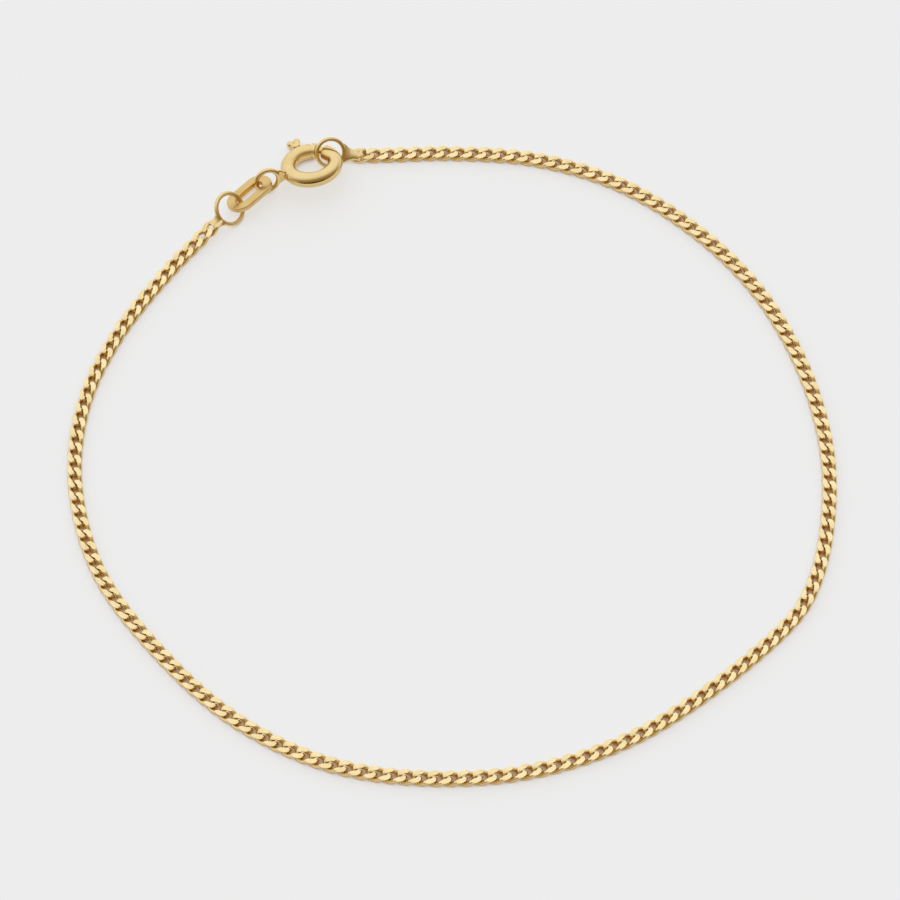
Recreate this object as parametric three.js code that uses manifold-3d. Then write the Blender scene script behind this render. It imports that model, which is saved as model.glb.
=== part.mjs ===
// A fine filed-curb bracelet with a spring ring clasp, closed and lying on a flat surface.
// Millimetres, +Z up. The surface is z = 0 and the origin is under the middle of the loop.
// Seen from above, the chain runs clockwise from the right end ring, round the loop, to the
// left end ring. A tag link and the spring ring's eye close the gap between the two.

import * as THREE from 'three';
import { mergeVertices } from 'three/addons/utils/BufferGeometryUtils.js';
import Module from 'manifold-3d';

const wasm = await Module();
wasm.setup();

// ---- Driving dimensions, in millimetres and degrees ----

// The chain: links of round wire, twisted flat and then filed on both faces.
const LINK_COUNT = 148;
const CHAIN_WIDTH = 1.2;
const CHAIN_THICKNESS = 0.62;
const LINK_WIRE = 0.405;
const LINK_TWIST = 0.3;      // how far the twist lifts the wire above the link's mid plane
const CHAIN_EDGE = 0.2;       // width of the slanted corners of the chain's outline
const CHAIN_STEPS = 80;
const CHAIN_GAP = 0.1;        // between the chain and the link soldered to each end ring

// The line that the chain lies along, from the link soldered to the right end ring
// to the link soldered to the left one.
const ROUTE = [
  { x: -7.2, y: 27.62, z: 0.36 },
  { x: -4.65, y: 27.72, z: 0.32 },
  { x: -0.16, y: 27.86, z: 0.32 },
  { x: 6.84, y: 27.25, z: 0.32 },
  { x: 13.32, y: 24.96, z: 0.32 },
  { x: 19.35, y: 20.62, z: 0.32 },
  { x: 24.32, y: 14.8, z: 0.32 },
  { x: 27.87, y: 7.13, z: 0.32 },
  { x: 29.41, y: -0.88, z: 0.32 },
  { x: 28.87, y: -8.46, z: 0.32 },
  { x: 27.44, y: -13.09, z: 0.32 },
  { x: 25.87, y: -15.49, z: 0.32 },
  { x: 19.88, y: -21.11, z: 0.32 },
  { x: 13.38, y: -25.53, z: 0.32 },
  { x: 5.86, y: -28.22, z: 0.32 },
  { x: -2.15, y: -28.8, z: 0.32 },
  { x: -9.65, y: -27.49, z: 0.32 },
  { x: -16.56, y: -23.76, z: 0.32 },
  { x: -22.5, y: -17.94, z: 0.32 },
  { x: -27.33, y: -10.87, z: 0.32 },
  { x: -29.42, y: -2.88, z: 0.32 },
  { x: -28.94, y: 4.32, z: 0.32 },
  { x: -26.45, y: 10.72, z: 0.32 },
  { x: -22.62, y: 16.6, z: 0.34 },
  { x: -20.87, y: 18.76, z: 0.42 },
  { x: -19.22, y: 20.49, z: 0.78 },
];

// The spring ring: a hollow round tube, bent into a ring that the gate leaves open.
const SPRING_RING = {
  centre: [-11.34, 26.06, 1.29],
  tilt: 19.5,                 // lean of the ring's plane
  rise: -72,                  // compass angle of its raised side, from +X towards +Y
  radius: 1.91,               // of the tube's centre line
  tubeRadius: 0.62,
  boreRadius: 0.45,
};
// Angles round the ring, from its right side towards its far side.
const GATE = { from: 58, to: 80 };
const SOCKET_END = 36;        // the bore on the far side of the gate, which takes the bolt's tip
const BORE_END = 300;         // the bore that guides the bolt and holds its spring
const BOLT = { from: 44, to: 130, radius: 0.39 };
const BOLT_TRAVEL = 40;       // how far the trigger draws the bolt back
const TRIGGER_ANGLE = 119;
const SLOT = { width: 0.46, clearance: 3 };   // round the post, across and along the ring
const TRIGGER_POST = { width: 0.36, reach: 2.9, spread: 4.5 };
const TRIGGER_HEAD = { inner: 2.68, outer: 3.52, spread: 8.5, low: -0.1, high: 0.5 };
const SEAM = { from: 248, to: 292, low: -0.05, high: 0.15 };   // the tube's open seam

// The closed loops of round wire: the spring ring's eye and the chain's two end rings.
const EYE = {
  centre: [-14.89, 24.67, 1.165], tilt: 67.7, rise: 102.5,
  length: 0.88, width: 1.0, turn: -25.6, wireRadius: 0.2,
  bead: { share: 0.69, length: 1.05, width: 1.15, height: 0.8 },
};
const LEFT_RING = {
  centre: [-17.88, 22.01, 1.065], tilt: 42.7, rise: 147.8,
  radius: 1.26, wireRadius: 0.185, bead: { share: 0.42, length: 1.1, width: 0.9, height: 0.6 },
};
const RIGHT_RING = {
  centre: [-9.85, 27.45, 1.05], tilt: 50, rise: 110,
  radius: 1.14, wireRadius: 0.17, bead: { share: 0.4, length: 1.3, width: 1.1, height: 0.62 },
};

// The tag link: a flat strip closed into a long loop with round ends.
const TAG = {
  centre: [-16.31, 23.61, 0.835], heading: 46.2, roll: -21.4,
  length: 4.25, width: 2.4, height: 0.43, wall: 0.78, bevel: 0.07,
};

// ---- Helpers ----

const radians = THREE.MathUtils.degToRad;

// A closed geometry as a solid that can be joined and cut.
function solid(geometry) {
  const bare = geometry.clone();
  bare.deleteAttribute('normal');
  bare.deleteAttribute('uv');
  const merged = mergeVertices(bare, 1e-5);
  return new wasm.Manifold(new wasm.Mesh({
    numProp: 3,
    vertProperties: new Float32Array(merged.attributes.position.array),
    triVerts: new Uint32Array(merged.index.array),
  }));
}

// A solid as a geometry again.
function geometryOf(manifold) {
  const mesh = manifold.getMesh();
  const geometry = new THREE.BufferGeometry();
  geometry.setAttribute('position', new THREE.BufferAttribute(mesh.vertProperties, 3));
  geometry.setIndex(new THREE.BufferAttribute(mesh.triVerts, 1));
  geometry.computeVertexNormals();
  return geometry;
}

function namedMesh(name, geometry, material) {
  const mesh = new THREE.Mesh(geometry, material);
  mesh.name = name;
  return mesh;
}

// The lean of a ring whose plane is tilted so that its side at the angle rise is the high one.
function lean(tilt, rise) {
  const hinge = new THREE.Vector3(Math.sin(radians(rise)), -Math.cos(radians(rise)), 0);
  return new THREE.Quaternion().setFromAxisAngle(hinge, radians(tilt));
}

function placement(centre, tilt, rise, turn = 0) {
  const spin = new THREE.Quaternion().setFromAxisAngle(new THREE.Vector3(0, 0, 1), radians(turn));
  const rotation = lean(tilt, rise).multiply(spin);
  return new THREE.Matrix4().compose(new THREE.Vector3(...centre), rotation, new THREE.Vector3(1, 1, 1));
}

// A polygon of equal sides as a shape, with a flat side facing each axis.
function roundSection(radius, sides) {
  const points = [];
  for (let i = 0; i < sides; i += 1) {
    const angle = (2 * Math.PI * (i + 0.5)) / sides;
    points.push(new THREE.Vector2(radius * Math.cos(angle), radius * Math.sin(angle)));
  }
  return new THREE.Shape(points);
}

// Part of a circle in the XY plane, between two angles in degrees.
class RingArc extends THREE.Curve {
  constructor(radius, from, to) {
    super();
    this.radius = radius;
    this.from = from;
    this.to = to;
  }

  getPoint(t, target = new THREE.Vector3()) {
    const angle = radians(THREE.MathUtils.lerp(this.from, this.to, t));
    return target.set(this.radius * Math.cos(angle), this.radius * Math.sin(angle), 0);
  }
}

// A bent rod with flat ends: a section carried along part of a circle.
function arcRod(radius, from, to, rodRadius, sides, degreesPerStep) {
  return new THREE.ExtrudeGeometry(roundSection(rodRadius, sides), {
    steps: Math.ceil((to - from) / degreesPerStep),
    extrudePath: new RingArc(radius, from, to),
    bevelEnabled: false,
  });
}

// A flat slice of a ring: between two radii, two angles and two heights.
function ringSlice(inner, outer, from, to, low, high, curveSegments) {
  const shape = new THREE.Shape();
  shape.absarc(0, 0, outer, radians(from), radians(to), false);
  shape.absarc(0, 0, inner, radians(to), radians(from), true);
  const geometry = new THREE.ExtrudeGeometry(shape, {
    depth: high - low, bevelEnabled: false, curveSegments,
  });
  return geometry.translate(0, 0, low);
}

// A closed loop of round wire. Its centre line is an ellipse with the given half length and
// half width, whose opposite quarters are lifted and lowered by the twist.
function wireLoop(halfLength, halfWidth, twist, wireRadius, wireSides, segments) {
  const loop = new THREE.TorusGeometry(1, wireRadius, wireSides, segments);
  const position = loop.attributes.position;
  const vertex = new THREE.Vector3();
  for (let i = 0; i < position.count; i += 1) {
    vertex.fromBufferAttribute(position, i);
    const angle = Math.atan2(vertex.y, vertex.x);
    const outward = Math.hypot(vertex.x, vertex.y) - 1;
    const normal = new THREE.Vector2(halfWidth * Math.cos(angle), halfLength * Math.sin(angle)).normalize();
    position.setXYZ(
      i,
      halfLength * Math.cos(angle) + outward * normal.x,
      halfWidth * Math.sin(angle) + outward * normal.y,
      vertex.z - twist * Math.sin(2 * angle),
    );
  }
  return loop;
}

// A bead of solder on the line from one point to another. Its share says how far along it sits,
// its length lies along the line and its width lies level.
function solderBead(start, end, { share, length, width, height }) {
  const along = new THREE.Vector3().subVectors(end, start).normalize();
  const level = new THREE.Vector3(-along.y, along.x, 0).normalize();
  const up = new THREE.Vector3().crossVectors(along, level);
  const place = new THREE.Matrix4().makeBasis(along, level, up);
  place.setPosition(new THREE.Vector3().lerpVectors(start, end, share));
  return new THREE.SphereGeometry(1, 12, 8).scale(length / 2, width / 2, height / 2).applyMatrix4(place);
}

// A long loop outline with round ends, as a shape or as the hole in one.
function stadium(length, width, path) {
  const straight = (length - width) / 2;
  path.absarc(straight, 0, width / 2, -Math.PI / 2, Math.PI / 2, false);
  path.absarc(-straight, 0, width / 2, Math.PI / 2, (3 * Math.PI) / 2, false);
  return path;
}

// ---- Materials ----

const gold = new THREE.MeshStandardMaterial({ color: 0xd9b25f, metalness: 1, roughness: 0.22 });
const filedGold = new THREE.MeshStandardMaterial({ color: 0xe6c67c, metalness: 1, roughness: 0.28 });
const solderedGold = new THREE.MeshStandardMaterial({ color: 0xcfa653, metalness: 1, roughness: 0.32 });

// ---- The chain ----

const chainLine = new THREE.CatmullRomCurve3(ROUTE.map(({ x, y, z }) => new THREE.Vector3(x, y, z)));
const chainLength = chainLine.getLength();
const linkPitch = chainLength / (LINK_COUNT - 1);
const linkHalfLength = (linkPitch + LINK_WIRE) / 2;
const linkHalfWidth = (CHAIN_WIDTH - LINK_WIRE) / 2;

// A stretch of a longer line, given in millimetres along it.
class Stretch extends THREE.Curve {
  constructor(line, from, to) {
    super();
    this.line = line;
    this.from = from / line.getLength();
    this.to = to / line.getLength();
  }

  getPoint(t, target = new THREE.Vector3()) {
    return this.line.getPointAt(THREE.MathUtils.lerp(this.from, this.to, t), target);
  }
}

// The outline of the chain's section: flat faces above and below, and slanted edges.
// The section's x is the chain's thickness and its y is the chain's width.
function chainSection() {
  const halfThickness = CHAIN_THICKNESS / 2;
  const halfWidth = CHAIN_WIDTH / 2;
  const corners = [
    [halfThickness, halfWidth - CHAIN_EDGE],
    [halfThickness - CHAIN_EDGE, halfWidth],
    [CHAIN_EDGE - halfThickness, halfWidth],
    [-halfThickness, halfWidth - CHAIN_EDGE],
    [-halfThickness, CHAIN_EDGE - halfWidth],
    [CHAIN_EDGE - halfThickness, -halfWidth],
    [halfThickness - CHAIN_EDGE, -halfWidth],
    [halfThickness, CHAIN_EDGE - halfWidth],
  ];
  return new THREE.Shape(corners.map(([x, y]) => new THREE.Vector2(x, y)));
}

function chain() {
  const endClearance = linkHalfLength + LINK_WIRE / 2 + CHAIN_GAP;
  const geometry = new THREE.ExtrudeGeometry(chainSection(), {
    steps: CHAIN_STEPS,
    extrudePath: new Stretch(chainLine, endClearance, chainLength - endClearance),
    bevelEnabled: false,
  });
  return namedMesh('chain', geometry, filedGold);
}

// A curb link on the chain's line, filed flat above and below.
function curbLink(distance) {
  const link = solid(wireLoop(linkHalfLength, linkHalfWidth, LINK_TWIST, LINK_WIRE / 2, 6, 16));
  const slab = solid(new THREE.BoxGeometry(4, 4, CHAIN_THICKNESS));
  const at = chainLine.getPointAt(distance / chainLength);
  const along = chainLine.getTangentAt(distance / chainLength);
  const left = new THREE.Vector3(-along.y, along.x, 0).normalize();
  const up = new THREE.Vector3().crossVectors(along, left);
  const frame = new THREE.Matrix4().makeBasis(along, left, up).setPosition(at);
  return link.intersect(slab).transform(frame.elements);
}

// ---- The end rings ----

// A closed ring, the chain's last link and the bead of solder that joins them, in one solid.
function endRing(name, ring, linkDistance) {
  const place = placement(ring.centre, ring.tilt, ring.rise);
  const loop = wireLoop(ring.radius, ring.radius, 0, ring.wireRadius, 10, 24).applyMatrix4(place);
  const linkCentre = chainLine.getPointAt(linkDistance / chainLength);
  const local = linkCentre.clone().applyMatrix4(place.clone().invert()).setZ(0);
  const joint = local.setLength(ring.radius).applyMatrix4(place);
  const bead = solderBead(joint, linkCentre, ring.bead);
  const fused = solid(loop).add(curbLink(linkDistance)).add(solid(bead));
  return namedMesh(name, geometryOf(fused), solderedGold);
}

// ---- The tag link ----

function tagLink() {
  const { length, width, height, wall, bevel } = TAG;
  const outline = stadium(length - 2 * bevel, width - 2 * bevel, new THREE.Shape());
  const slot = stadium(length - 2 * wall + 2 * bevel, width - 2 * wall + 2 * bevel, new THREE.Path());
  outline.holes.push(slot);
  const geometry = new THREE.ExtrudeGeometry(outline, {
    depth: height - 2 * bevel, bevelThickness: bevel, bevelSize: bevel,
    bevelSegments: 1, curveSegments: 10,
  });
  geometry.translate(0, 0, bevel - height / 2);
  geometry.rotateX(radians(TAG.roll));
  geometry.rotateZ(radians(TAG.heading));
  geometry.translate(...TAG.centre);
  return namedMesh('tag_link', geometry, gold);
}

// ---- The spring ring ----

const springPlace = placement(SPRING_RING.centre, SPRING_RING.tilt, SPRING_RING.rise);

function springRing() {
  const { radius, tubeRadius, boreRadius } = SPRING_RING;
  const outside = radius + tubeRadius + 0.2;
  const tube = solid(arcRod(radius, GATE.to, GATE.from + 360, tubeRadius, 14, 9));
  const bore = solid(arcRod(radius, SOCKET_END, BORE_END, boreRadius, 12, 9));
  const slot = solid(ringSlice(
    radius, outside,
    TRIGGER_ANGLE - TRIGGER_POST.spread - SLOT.clearance,
    TRIGGER_ANGLE + TRIGGER_POST.spread + SLOT.clearance + BOLT_TRAVEL,
    -SLOT.width / 2, SLOT.width / 2, 12,
  ));
  const seam = solid(ringSlice(radius, outside, SEAM.from, SEAM.to, SEAM.low, SEAM.high, 6));
  const eyePlace = placement(EYE.centre, EYE.tilt, EYE.rise, EYE.turn);
  const eye = solid(wireLoop(EYE.length, EYE.width, 0, EYE.wireRadius, 10, 24).applyMatrix4(eyePlace));
  const ringCentre = new THREE.Vector3(...SPRING_RING.centre);
  const bead = solid(solderBead(ringCentre, new THREE.Vector3(...EYE.centre), EYE.bead));
  const place = springPlace.elements;
  const body = tube.transform(place).add(bead).subtract(bore.add(slot).add(seam).transform(place));
  return namedMesh('spring_ring', geometryOf(body.add(eye)), gold);
}

// The bolt that closes the gate, with its trigger, which slides in the slot.
function springBolt() {
  const { radius } = SPRING_RING;
  const { width, reach, spread } = TRIGGER_POST;
  const head = TRIGGER_HEAD;
  const rod = solid(arcRod(radius, BOLT.from, BOLT.to, BOLT.radius, 12, 9));
  const post = solid(ringSlice(
    radius, reach, TRIGGER_ANGLE - spread, TRIGGER_ANGLE + spread, -width / 2, width / 2, 4,
  ));
  const tab = solid(ringSlice(
    head.inner, head.outer, TRIGGER_ANGLE - head.spread, TRIGGER_ANGLE + head.spread,
    head.low, head.high, 4,
  ));
  const bolt = rod.add(post).add(tab).transform(springPlace.elements);
  return namedMesh('spring_bolt', geometryOf(bolt), gold);
}

const bracelet = new THREE.Group();
bracelet.add(
  chain(),
  endRing('end_ring_right', RIGHT_RING, 0),
  endRing('end_ring_left', LEFT_RING, chainLength),
  tagLink(),
  springRing(),
  springBolt(),
);

export default bracelet;
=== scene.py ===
"""The looks of a fine filed-curb bracelet with a spring ring clasp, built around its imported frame.

The pieces are modelled in millimetres, in the frame's own directions, and settled in metres.
"""
import math
from contextlib import contextmanager
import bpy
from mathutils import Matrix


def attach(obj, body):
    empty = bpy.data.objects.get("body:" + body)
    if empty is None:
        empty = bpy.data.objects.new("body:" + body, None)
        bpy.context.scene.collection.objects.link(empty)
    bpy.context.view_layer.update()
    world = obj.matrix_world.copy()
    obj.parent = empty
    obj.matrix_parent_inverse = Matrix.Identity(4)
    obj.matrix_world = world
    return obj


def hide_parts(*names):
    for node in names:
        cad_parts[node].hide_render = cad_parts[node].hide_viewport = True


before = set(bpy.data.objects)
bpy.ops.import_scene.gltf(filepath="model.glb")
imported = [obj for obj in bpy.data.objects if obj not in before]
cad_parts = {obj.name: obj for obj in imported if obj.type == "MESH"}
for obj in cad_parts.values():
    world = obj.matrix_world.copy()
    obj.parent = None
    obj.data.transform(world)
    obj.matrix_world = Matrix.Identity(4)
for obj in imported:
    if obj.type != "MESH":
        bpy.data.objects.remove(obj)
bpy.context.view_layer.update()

from types import SimpleNamespace

import bmesh
import bpy
from mathutils import Matrix, Quaternion, Vector

bl_info = {
    "name": "Fine Curb Bracelet",
    "version": (1, 0, 0),
    "blender": (4, 5, 0),
    "location": "View3D > Sidebar > Bracelet",
    "description": "Models a filed-curb chain bracelet with a spring ring clasp and a tag link",
    "category": "Add Mesh",
}

MM = 0.001

# The line that the chain lies along, in millimetres, from the link soldered to the right end
# ring, clockwise round the loop, to the link soldered to the left one.
ROUTE = (
    (-7.2, 27.62, 0.36), (-4.65, 27.72, 0.32), (-0.16, 27.86, 0.32), (6.84, 27.25, 0.32),
    (13.32, 24.96, 0.32), (19.35, 20.62, 0.32), (24.32, 14.8, 0.32), (27.87, 7.13, 0.32),
    (29.41, -0.88, 0.32), (28.87, -8.46, 0.32), (27.44, -13.09, 0.32), (25.87, -15.49, 0.32),
    (19.88, -21.11, 0.32), (13.38, -25.53, 0.32), (5.86, -28.22, 0.32), (-2.15, -28.8, 0.32),
    (-9.65, -27.49, 0.32), (-16.56, -23.76, 0.32), (-22.5, -17.94, 0.32), (-27.33, -10.87, 0.32),
    (-29.42, -2.88, 0.32), (-28.94, 4.32, 0.32), (-26.45, 10.72, 0.32), (-22.62, 16.6, 0.34),
    (-20.87, 18.76, 0.42), (-19.22, 20.49, 0.78),
)

# Where the rings lie: the middle in millimetres, the lean of the ring's plane and the compass
# angle of its raised side, in degrees. The eye, which isn't round, has a turn in its own plane,
# and the tag has the compass angle of its length and a roll about it.
SPRING_RING_PLACE = {"centre": (-11.34, 26.06, 1.29), "tilt": 19.5, "rise": -72.0}
EYE_PLACE = {"centre": (-14.89, 24.67, 1.165), "tilt": 67.7, "rise": 102.5, "turn": -25.6}
LEFT_RING_PLACE = {"centre": (-17.88, 22.01, 1.065), "tilt": 42.7, "rise": 147.8}
RIGHT_RING_PLACE = {"centre": (-9.85, 27.45, 1.05), "tilt": 50.0, "rise": 110.0}
TAG_PLACE = {"centre": (-16.31, 23.61, 0.835), "heading": 46.2, "roll": -21.4}

# Angles round the spring ring, in degrees, from its right side towards its far side.
GATE = (58.0, 80.0)
BORE = (36.0, 300.0)
# The bore is wide enough for the coil spring from here to its end.
WIDE_BORE = 232.0
SPRING_SHOWN = (240.0, 299.0)
SEAM_SLIT = (243.0, 298.0)
SEAM_GROOVE = 92.0
BOLT = (44.0, 130.0)
BOLT_TRAVEL = 40.0
TRIGGER_ANGLE = 119.0
# How far the trigger's post and its slot reach to either side of the trigger's angle.
POST_REACH = 4.3
SLOT_REACH = 6.0

# The middle of the loop on the floor, which the camera looks at, in millimetres.
LOOP_MIDDLE = (-0.15, 0.12, 0.0)


# ---- Settings ----

def length(name, description, millimetres):
    """A size that the user sees as a distance, given here in millimetres."""
    return bpy.props.FloatProperty(
        name=name, description=description, default=millimetres * MM,
        unit="LENGTH", subtype="DISTANCE", precision=5,
    )


def colour(name, description, rgb):
    """A colour that the user can pick."""
    return bpy.props.FloatVectorProperty(
        name=name, description=description, default=rgb, size=3, min=0.0, max=1.0, subtype="COLOR",
    )


def share(name, description, value):
    """A number between 0 and 1, shown as a slider."""
    return bpy.props.FloatProperty(
        name=name, description=description, default=value, min=0.0, max=1.0, subtype="FACTOR",
    )


class BRACELET_PG_chain(bpy.types.PropertyGroup):
    """Sizes of the chain and its links."""

    links: bpy.props.IntProperty(
        name="Links", description="Links from end ring to end ring, both soldered ones counted",
        default=148, min=3,
    )
    width: length("Width", "Width of the chain over its links", 1.2)
    thickness: length("Thickness", "Thickness between the two filed faces", 0.62)
    wire: length("Wire", "Diameter of the link wire", 0.405)
    twist: length("Twist", "How far the twist lifts the wire above the link's mid plane", 0.3)
    play: length("Play", "Gap between the wires of two links where they hook together", 0.02)
    end_fullness: share("End Fullness", "How squarely a link's ends are bent", 0.74)
    side_fullness: share("Side Fullness", "How far a link's sides run straight", 0.58)
    wire_sides: bpy.props.IntProperty(
        name="Wire Sides", description="Sides of the link wire's section", default=10, min=6,
    )
    steps: bpy.props.IntProperty(
        name="Link Steps", description="Stretches of wire round one link", default=24, min=8,
    )


class BRACELET_PG_clasp(bpy.types.PropertyGroup):
    """Sizes of the spring ring, the two end rings and the tag link."""

    radius: length("Ring Radius", "Radius of the spring ring's centre line", 1.91)
    tube: length("Tube Radius", "Outer radius of the spring ring's tube", 0.62)
    bore: length("Bore Radius", "Inner radius of the spring ring's tube", 0.45)
    spring_bore: length("Spring Bore Radius", "Inner radius of the tube where the spring sits", 0.57)
    spring_wire: length("Spring Wire", "Diameter of the coil spring's wire", 0.15)
    bolt: length("Bolt Radius", "Radius of the bolt that closes the gate", 0.39)
    slot: length("Slot Width", "Width of the slot that the trigger slides in", 0.46)
    post: length("Post Thickness", "Thickness of the trigger's post", 0.4)
    eye_wire: length("Eye Wire", "Diameter of the eye's wire", 0.4)
    left_radius: length("Left Ring Radius", "Radius of the left end ring's centre line", 1.26)
    left_wire: length("Left Ring Wire", "Diameter of the left end ring's wire", 0.37)
    right_radius: length("Right Ring Radius", "Radius of the right end ring's centre line", 1.14)
    right_wire: length("Right Ring Wire", "Diameter of the right end ring's wire", 0.34)
    tag_length: length("Tag Length", "Length of the tag link", 4.25)
    tag_width: length("Tag Width", "Width of the tag link", 2.4)
    tag_height: length("Tag Height", "Height of the tag link's strip", 0.43)
    tag_wall: length("Tag Wall", "Thickness of the tag link's wall", 0.78)


class BRACELET_PG_finish(bpy.types.PropertyGroup):
    """Colours and polish of the gold."""

    gold: colour("Gold", "Colour of the polished gold", (0.87, 0.68, 0.34))
    # Deep Gold is the colour of the tarnish stains and also of the painted shade on the sides and
    # undersides.
    deep_gold: colour("Deep Gold", "Colour of the gold where it is tarnished", (0.64, 0.42, 0.11))
    filed_gold: colour("Filed Gold", "Colour of the filed faces", (1.0, 0.83, 0.48))
    tag_gold: colour("Tag Gold", "Colour of the tag link's strip", (0.74, 0.54, 0.24))
    # Painted shade and painted reflection: the deep, saturated colour given to the walls inside the
    # tag link.
    slot_gold: colour("Slot Gold", "Colour of the walls inside the tag link", (0.74, 0.40, 0.05))
    # Solder is the colour of the stains and of the painted shade on the sides and undersides of the
    # end rings.
    solder: colour("Solder", "Colour of the soldered joints", (0.84, 0.66, 0.35))
    polish: share("Polish Roughness", "Roughness of polished gold", 0.09)
    filed: share("Filed Roughness", "Roughness of the filed faces", 0.16)
    soldered: share("Soldered Roughness", "Roughness of the rings that were soldered", 0.22)


class BRACELET_PG_stage(bpy.types.PropertyGroup):
    """The floor, the light and the camera."""

    floor_colour: colour("Floor Colour", "Colour of the floor in the light", (0.376, 0.426, 0.482))
    floor_glow: colour("Floor Glow", "Light that the floor gives off itself", (0.58, 0.558, 0.548))
    # Painted shade: the floor's colour and glow turn to this brown under and between the links.
    painted_floor_shade: colour("Floor Shade", "Colour of the floor between the links", (0.52, 0.27, 0.05))
    camera_height: bpy.props.FloatProperty(
        name="Camera Elevation", description="Angle of the camera above the floor",
        default=math.radians(59.486), subtype="ANGLE",
    )
    camera_distance: length("Camera Distance", "From the camera to the middle of the loop", 388.0)
    lens: bpy.props.FloatProperty(
        name="Lens", description="Focal length of the camera", default=198.0, unit="CAMERA",
    )


# ---- Modelling by hand: what every piece uses ----

def only(*pieces):
    """Selects these objects and nothing else, the first one active."""
    if bpy.context.object is not None and bpy.context.object.mode != "OBJECT":
        bpy.ops.object.mode_set(mode="OBJECT")
    bpy.ops.object.select_all(action="DESELECT")
    for piece in pieces:
        piece.select_set(True)
    bpy.context.view_layer.objects.active = pieces[0]


def named(name):
    """The object that was just added, renamed."""
    piece = bpy.context.object
    piece.name = name
    piece.data.name = name
    return piece


@contextmanager
def editing(piece):
    """Edit mode on one piece alone."""
    only(piece)
    bpy.ops.object.mode_set(mode="EDIT")
    yield
    bpy.ops.object.mode_set(mode="OBJECT")


def choose(piece, kind, test):
    """Selects the vertices, edges or faces of the piece being edited that pass the test."""
    modes = {"verts": "VERT", "edges": "EDGE", "faces": "FACE"}
    bpy.ops.mesh.select_all(action="DESELECT")
    bpy.ops.mesh.select_mode(type=modes[kind])
    mesh = bmesh.from_edit_mesh(piece.data)
    chosen = [part for part in getattr(mesh, kind) if test(part)]
    for part in chosen:
        part.select_set(True)
    bmesh.update_edit_mesh(piece.data)
    if not chosen:
        raise RuntimeError(f"{piece.name}: nothing to select among its {kind}")


def finish_modifier(piece, kind, **settings):
    """Adds a modifier with these settings and applies it."""
    only(piece)
    modifier = piece.modifiers.new(kind.title(), kind)
    for key, value in settings.items():
        setattr(modifier, key, value)
    bpy.ops.object.modifier_apply(modifier=modifier.name)


def combine(piece, tool, operation):
    """Joins a tool to a piece or cuts it away, and removes the tool."""
    finish_modifier(piece, "BOOLEAN", operation=operation, solver="EXACT", object=tool)
    bpy.data.objects.remove(tool)


def join(name, *pieces):
    """Makes one object of several."""
    only(*pieces)
    if len(pieces) > 1:
        bpy.ops.object.join()
    return named(name)


def apply_place(piece):
    """Writes a piece's place, turn and size into its mesh."""
    only(piece)
    bpy.ops.object.transform_apply(location=True, rotation=True, scale=True)


def move(piece, matrix):
    piece.matrix_world = matrix @ piece.matrix_world
    apply_place(piece)


def mend_normals(piece):
    """Merges what lies together and turns every face outwards."""
    with editing(piece):
        bpy.ops.mesh.select_all(action="SELECT")
        bpy.ops.mesh.remove_doubles(threshold=1e-5)
        bpy.ops.mesh.normals_make_consistent(inside=False)


def fuse(piece, voxel, rounds):
    """Melts overlapping shells into one skin and smooths the joints, as solder does."""
    finish_modifier(piece, "REMESH", mode="VOXEL", voxel_size=voxel)
    finish_modifier(piece, "SMOOTH", factor=0.5, iterations=rounds)


def settle(piece, body, slot, material, *nodes, crease=35.0):
    """Brings a finished piece to metres, shades it and hangs it on its body."""
    move(piece, Matrix.Scale(MM, 4))
    bpy.ops.object.shade_smooth_by_angle(angle=math.radians(crease))
    piece.data.materials.clear()
    piece.data.materials.append(material)
    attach(piece, body)
    if nodes:
        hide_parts(*nodes)


def in_mm(settings):
    """The distances of a settings group in millimetres, by name, and its other values as they are."""
    sizes = SimpleNamespace()
    for prop in settings.bl_rna.properties:
        if prop.identifier not in ("rna_type", "name"):
            value = getattr(settings, prop.identifier)
            setattr(sizes, prop.identifier, value / MM if prop.unit == "LENGTH" else value)
    return sizes


def lean(tilt, rise):
    """The turn that tilts a level ring so that its side at the compass angle rise is the high one."""
    hinge = Vector((math.sin(math.radians(rise)), -math.cos(math.radians(rise)), 0.0))
    return Quaternion(hinge, math.radians(tilt)).to_matrix().to_4x4()


def placement(centre, tilt, rise, turn=0.0):
    """The place of a ring that was modelled level at the origin."""
    turned = Matrix.Rotation(math.radians(turn), 4, "Z")
    return Matrix.Translation(centre) @ lean(tilt, rise) @ turned


# ---- Shapes that several pieces share ----

# A curve's four quarters are as round as a circle with handles this long, for a radius of 1.
ROUND = (0.5523, 0.5523)
# A twisted loop's wire stands highest half way along each quarter, at this share of its handles.
HANDLE_LIFT = 0.75
# How finely the rings' wire is made: the sides of its section and the stretches round a ring.
RING_SIDES = 20
RING_STEPS = 64


def wire_loop(name, half_length, half_width, wire, sides, steps, fullness=ROUND, twist=0.0):
    """A closed loop of round wire. The twist lifts two opposite quarters and lowers the others.

    The fullness is the length of the curve's handles at the loop's ends and at its sides.
    """
    bpy.ops.curve.primitive_bezier_circle_add(radius=1.0)
    loop = bpy.context.object
    for index, point in enumerate(loop.data.splines[0].bezier_points):
        angle = math.pi - index * math.pi / 2
        point.handle_left_type = point.handle_right_type = "FREE"
        forward = Vector((
            half_length * math.sin(angle) * fullness[1],
            -half_width * math.cos(angle) * fullness[0],
            twist / HANDLE_LIFT * math.cos(2 * angle),
        ))
        point.co = (half_length * math.cos(angle), half_width * math.sin(angle), 0.0)
        point.handle_right = point.co + forward
        point.handle_left = point.co - forward
    loop.data.resolution_u = steps // 4
    loop.data.bevel_depth = wire / 2
    loop.data.bevel_resolution = (sides - 4) // 2
    only(loop)
    bpy.ops.object.convert(target="MESH")
    loop = named(name)
    mend_normals(loop)
    return loop


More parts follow.
